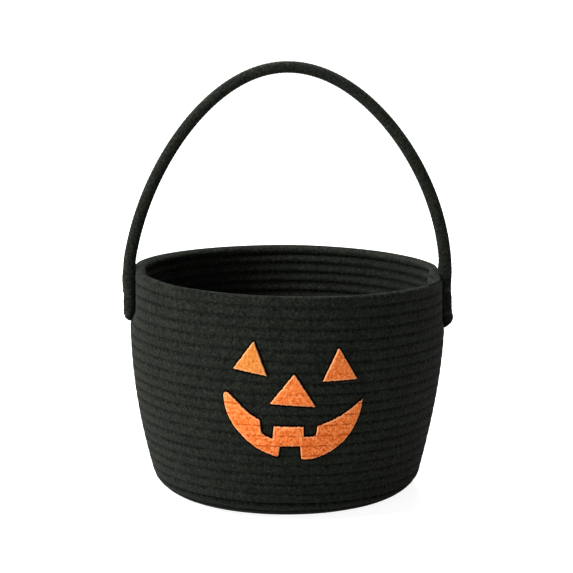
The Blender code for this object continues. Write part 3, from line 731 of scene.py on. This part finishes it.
def cotton_rope(name, seams):
    """Cotton rope, braided and piece-dyed black: matt, with a soft bloom of loose fibre ends.

    The plaits cross every 3 mm along the rope and 8 times round it, under a nap of lint from
    2 mm clumps down to single fibres. seams is how far the thread pulls the rope in along its
    seams, more at one stitch than the next, and how much shade is painted darker into the
    colour there.
    """
    material, tree, shader = new_material(
        name, Roughness=0.95, Specular_IOR_Level=0.03,
        Sheen_Weight=0.03, Sheen_Roughness=0.4, Sheen_Tint=linear("#eef2ea"))
    where = add_node(tree, "ShaderNodeTexCoord")
    uv = add_node(tree, "ShaderNodeSeparateXYZ", inputs={0: where.outputs["UV"]})
    along, stitch = (
        add_node(tree, MATH, {"operation": "MULTIPLY"}, {0: uv.outputs["X"], 1: turn / length})
        for turn, length in ((math.pi, PLAIT_LENGTH), (2 * math.pi, STITCH_LENGTH)))
    around = add_node(tree, MATH, {"operation": "MULTIPLY"}, {0: uv.outputs["Y"], 1: 2 * math.pi})
    turned = add_node(tree, MATH, {"operation": "MULTIPLY"}, {0: around, 1: STRANDS})
    right_way, left_way = (
        add_node(tree, MATH, {"operation": way}, {0: along, 1: turned})
        for way in ("ADD", "SUBTRACT"))
    right_lay, left_lay, ripple, level = (
        add_node(tree, MATH, {"operation": "COSINE"}, {0: phase})
        for phase in (right_way, left_way, stitch, around))
    plait = add_node(tree, MATH, {"operation": "MULTIPLY"}, {0: right_lay, 1: left_lay})

    patchy, pulls, lint, fibres = (
        add_node(tree, NOISE, {}, {
            "Vector": where.outputs["Object"], "Scale": 1 / size,
            "Detail": detail, "Roughness": roughness})
        for size, detail, roughness in (
            (14 * MM, 2.0, 0.5),    # patches where the dye took better
            (3.6 * MM, 2.5, 0.5),   # tufts that the stitches pull
            (2.0 * MM, 5.0, 0.8),   # clumps of lint
            (1.2 * MM, 2.0, 0.7),   # single fibres
        ))

    # The seams lie where the rope faces up or down, and there the stitches draw it in. There
    # shade is also painted into the colour.
    from_side = add_node(tree, MATH, {"operation": "ABSOLUTE"}, {0: level})
    drawn = add_node(tree, MATH, {"operation": "MULTIPLY_ADD"}, {
        0: ripple, 1: 0.12 * seams, 2: from_side})
    seam = add_node(tree, MAP_RANGE, {"interpolation_type": "SMOOTHSTEP"}, {
        "Value": drawn, "From Min": 0.40, "From Max": 0.90})
    pull = add_node(tree, MAP_RANGE, {}, {
        "Value": pulls, "From Min": 0.42, "From Max": 0.58, "To Min": 0.1 * seams, "To Max": seams})
    pit_and_shade = add_node(tree, MATH, {"operation": "MULTIPLY"}, {0: seam, 1: pull})

    # What each layer adds to the shade and to the height of the surface
    shade, height = 0.0, 0.0
    for layer, for_shade, for_height in (
        (lint, 1.0, 0.85),
        (patchy, 0.12, 0.0),
        (fibres, 0.42, 0.3),
        (plait, 0.012, 0.04),
        (pulls, 0.0, 1.2),
        # the pits sink the bump as real relief, and darken the colour as painted shade
        (pit_and_shade, -0.22, -0.8),
    ):
        shade, height = (
            add_node(tree, MATH, {"operation": "MULTIPLY_ADD"}, {0: layer, 1: share, 2: total})
            for share, total in ((for_shade, shade), (for_height, height)))
    ramp = colour_stops(add_node(tree, RAMP, {}, {"Fac": shade}),
                        (0.56, "#0c0e0b"), (0.76, "#1a1d18"), (0.92, "#2c2f29"))
    tree.links.new(ramp.outputs["Color"], shader.inputs["Base Color"])
    bump = add_node(tree, "ShaderNodeBump", {}, {
        "Height": height, "Strength": 1.0, "Distance": NAP_DEPTH})
    tree.links.new(bump.outputs["Normal"], shader.inputs["Normal"])
    return material


def sewing_thread():
    """Spun polyester sewing thread in black: a little smoother than the cotton it lies on."""
    material, tree, shader = new_material(
        "black spun polyester thread", Roughness=0.7, Specular_IOR_Level=0.2)
    where = add_node(tree, "ShaderNodeTexCoord")
    twist = add_node(tree, NOISE, {}, {
        "Vector": where.outputs["Object"], "Scale": 1 / (0.6 * MM), "Detail": 2.0})
    ramp = colour_stops(add_node(tree, RAMP, {}, {"Fac": twist}),
                        (0.35, "#0c0e0b"), (0.65, "#20221e"))
    tree.links.new(ramp.outputs["Color"], shader.inputs["Base Color"])
    return material


def needled_felt():
    """Polyester craft felt, needled, pressed and dyed orange: matted fibres, quite matt.

    The fibres mat in wrinkles about 1.7 mm long, darker where they part. A highlight is painted
    paler along the cut edge, the seams below get thin broken lines of painted shade across the
    face, and the frayed foot is painted dark as shade. A yellower colour, painted in with the
    lit_tone, stands in for stronger light on a piece.
    """
    material, tree, shader = new_material(
        "orange needled felt", Roughness=0.95, Sheen_Roughness=0.5, Sheen_Tint=linear("#ffd0a0"))
    where = add_node(tree, "ShaderNodeTexCoord")
    edge, course, pressed, lit_tone = (
        add_node(tree, "ShaderNodeAttribute", {"attribute_name": key}).outputs["Fac"]
        for key in ("edge_distance", "course", "pressed", "lit_tone"))
    matted = add_node(tree, NOISE, {}, {
        "Vector": where.outputs["Object"], "Scale": 1 / (1.7 * MM),
        "Detail": 3.0, "Roughness": 0.6, "Distortion": 1.0})
    # orange is the dye; yellow is a lit copy of it, painted in by lit_tone where a piece stands in
    # stronger light
    orange, yellow = (
        colour_stops(add_node(tree, RAMP, {}, {"Fac": matted}), *stops)
        for stops in (((0.32, "#bc4813"), (0.48, "#ef722c"), (0.66, "#f9a060")),
                      ((0.32, "#ae5a1a"), (0.48, "#ce7a30"), (0.66, "#e29a55"))))
    # painted highlight: the outer mm of the cut edge is coloured paler, as an edge that catches the
    # light
    edge_highlight = add_node(tree, MAP_RANGE, {}, {
        "Value": edge, "From Min": 0.4 * MM, "From Max": 1.1 * MM, "To Min": 0.6, "To Max": 0.0})

    # The seams' marks: lines of painted shade at one share of each course, wavy and broken
    wavy = add_node(tree, MATH, {"operation": "MULTIPLY_ADD"}, {0: matted, 1: 0.22, 2: course})
    part = add_node(tree, MATH, {"operation": "FRACT"}, {0: wavy})
    off = add_node(tree, MATH, {"operation": "SUBTRACT"}, {0: part, 1: 0.61})
    away = add_node(tree, MATH, {"operation": "ABSOLUTE"}, {0: off})
    line = add_node(tree, MAP_RANGE, {"interpolation_type": "SMOOTHSTEP"}, {
        "Value": away, "From Min": 0.03, "From Max": 0.12, "To Min": 1.0, "To Max": 0.0})
    broken = add_node(tree, NOISE, {}, {
        "Vector": where.outputs["Object"], "Scale": 1 / (4.0 * MM), "Detail": 1.0})
    shown = add_node(tree, MAP_RANGE, {}, {"Value": broken, "From Min": 0.38, "From Max": 0.58})
    dash = add_node(tree, MATH, {"operation": "MULTIPLY"}, {0: line, 1: shown})
    groove_shade = add_node(tree, MATH, {"operation": "MULTIPLY"}, {0: dash, 1: pressed})
    # painted shade: the foot beyond the cut edge is coloured near-black, as the shade between felt
    # and rope
    foot_shade = add_node(tree, MAP_RANGE, {}, {
        "Value": edge, "From Min": -0.02 * MM, "From Max": -0.15 * MM})

    colour = orange.outputs["Color"]
    for amount, over in (
        # painted light: the yellower lit copy of the dye
        (lit_tone, yellow),
        # painted highlight along the cut edge
        (edge_highlight, linear("#ffb078")),
        # painted shade in the seams' grooves
        (groove_shade, linear("#b8430f")),
        # painted shade over the foot
        (foot_shade, linear("#0a0705")),
    ):
        mixed = add_node(tree, MIX, {"data_type": "RGBA"}, {
            "Factor": amount, "A": colour, "B": over})
        colour = mixed.outputs["Result"]
    tree.links.new(colour, shader.inputs["Base Color"])
    # the painted shade on the foot also takes away its sheen and gloss
    for socket, amount in (("Sheen Weight", 0.12), ("Specular IOR Level", 0.08)):
        kept = add_node(tree, MAP_RANGE, {}, {"Value": foot_shade, "To Min": amount, "To Max": 0.0})
        tree.links.new(kept.outputs[0], shader.inputs[socket])
    bump = add_node(tree, "ShaderNodeBump", {}, {
        "Height": matted, "Strength": 1.0, "Distance": NAP_DEPTH})
    tree.links.new(bump.outputs["Normal"], shader.inputs["Normal"])
    return material


def looked_at(tree):
    """1 for a ray from the camera, a mirror or glass, and 0 for one that only brings light."""
    path = add_node(tree, "ShaderNodeLightPath")
    shown = path.outputs["Is Camera Ray"]
    for kind in ("Is Glossy Ray", "Is Transmission Ray"):
        shown = add_node(tree, MATH, {"operation": "MAXIMUM"}, {0: shown, 1: path.outputs[kind]})
    return shown


def white_floor():
    """White seamless paper: plain white to the camera, and a faint shadow under the object.

    Near the object a part of the white comes from the lamps, so that the shadow shows.
    """
    material, tree, shader = new_material(
        "white seamless paper", Roughness=0.9, Base_Color=linear("#a8a8a8"))
    where = add_node(tree, "ShaderNodeTexCoord")
    far = add_node(tree, "ShaderNodeVectorMath", {"operation": "LENGTH"}, {
        0: where.outputs["Object"]})
    level = add_node(tree, MAP_RANGE, {}, {
        "Value": far.outputs["Value"], "From Min": GLOW_REACH[0], "From Max": GLOW_REACH[1],
        "To Min": PAPER_GLOW[0], "To Max": PAPER_GLOW[1]})
    glow = add_node(tree, "ShaderNodeEmission", {}, {"Strength": level})
    both = add_node(tree, "ShaderNodeAddShader", {}, {0: shader, 1: glow})
    choose = add_node(tree, "ShaderNodeMixShader", {}, {0: looked_at(tree), 1: shader, 2: both})
    tree.links.new(choose.outputs[0], tree.nodes["Material Output"].inputs["Surface"])
    return material


def place_and_aim(name, data, place, aim):
    """Put a lamp or camera at a place in the scene and point it at another."""
    thing = bpy.data.objects.new(name, data)
    thing.location = place
    ahead = Vector(aim) - Vector(place)
    thing.rotation_euler = ahead.to_track_quat("-Z", "Y").to_euler()
    bpy.context.collection.objects.link(thing)
    return thing


def studio():
    """White paper and surround, a key from the left, a weak fill from the front left, a top lamp
    from above and behind, and the camera."""
    scene = bpy.context.scene
    scene.view_settings.view_transform = "Standard"
    scene.world = bpy.data.worlds.new("white studio")
    scene.world.use_nodes = True
    tree = scene.world.node_tree
    level = add_node(tree, MAP_RANGE, {}, {
        "Value": looked_at(tree), "To Min": WORLD_LEVEL, "To Max": 1.0})
    back = tree.nodes["Background"]
    back.inputs["Color"].default_value = linear("#ffffff")
    tree.links.new(level.outputs[0], back.inputs["Strength"])

    corners = [(x * PAPER_REACH, y * PAPER_REACH, PAPER_DEPTH)
               for x, y in ((-1, -1), (1, -1), (1, 1), (-1, 1))]
    mesh = bpy.data.meshes.new("paper")
    mesh.from_pydata(corners, [], [(0, 1, 2, 3)])
    mesh.materials.append(white_floor())
    paper = bpy.data.objects.new("paper", mesh)
    bpy.context.collection.objects.link(paper)

    for name, place, side, power in LAMPS:
        light = bpy.data.lights.new(name, "AREA")
        light.size = side
        light.energy = power
        place_and_aim(name, light, place, LAMP_AIM)
    camera = bpy.data.cameras.new("camera")
    camera.sensor_width = SENSOR_WIDTH
    camera.lens = LENS_LENGTH * SENSOR_WIDTH / PHOTO_SIDE
    scene.camera = place_and_aim("camera", camera, CAMERA_PLACE, CAMERA_AIM)


ROPE = cotton_rope("black braided cotton rope, sewn in courses", 1.0)
HANDLE_ROPE = cotton_rope("black braided cotton rope, of the handle", 0.0)
THREAD, FELT = sewing_thread(), needled_felt()

tub = wound_rope(ROPE)
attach(tub, "basket")
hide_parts("wall_rope", "base_coil")

handle = handle_rope(HANDLE_ROPE)
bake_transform(handle)
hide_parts("handle_arch", "handle_tail_left", "handle_tail_right")

for side, name in ((-1, "left"), (1, "right")):
    for place, height in zip(("upper", "lower"), STITCH_ROWS[name]):
        paths = bar_tack(name, side, height * MM)
        tack = threads(f"{name}_{place}_stitches", paths, THREAD_RADIUS, THREAD_SIDES, THREAD)
        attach(tack, "basket")
        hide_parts(f"tail_stitches_{name}_{place}")

for outside, name in ((True, "seam_stitches_outside"), (False, "seam_stitches_inside")):
    stitches = seam_stitches(name, outside, THREAD)
    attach(stitches, "basket")

GRIN = (
    np.concatenate([smooth_edge(GRIN_LOWER_LEFT), GRIN_LOWER_GAP, smooth_edge(GRIN_LOWER_RIGHT)]),
    np.concatenate([smooth_edge(GRIN_UPPER_LEFT), GRIN_UPPER_TEETH, smooth_edge(GRIN_UPPER_RIGHT)]),
)
# each piece: its name, the frame's node, its edges, how strongly the seams press it, and its share
# of the painted lit_tone
for name, node, edges, pressed, lit_tone in (
    ("left_eye_felt", "eye_patch_left", EYE_LEFT, 0.2, 1.0),
    ("right_eye_felt", "eye_patch_right", EYE_RIGHT, 0.15, 0.0),
    ("nose_felt", "nose_patch", NOSE, 0.45, 0.0),
    ("grin_felt", "mouth_patch", GRIN, 0.9, 0.0),
):
    patch = felt_patch(name, edges, pressed, lit_tone, FELT)
    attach(patch, "basket")
    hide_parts(node)

studio()
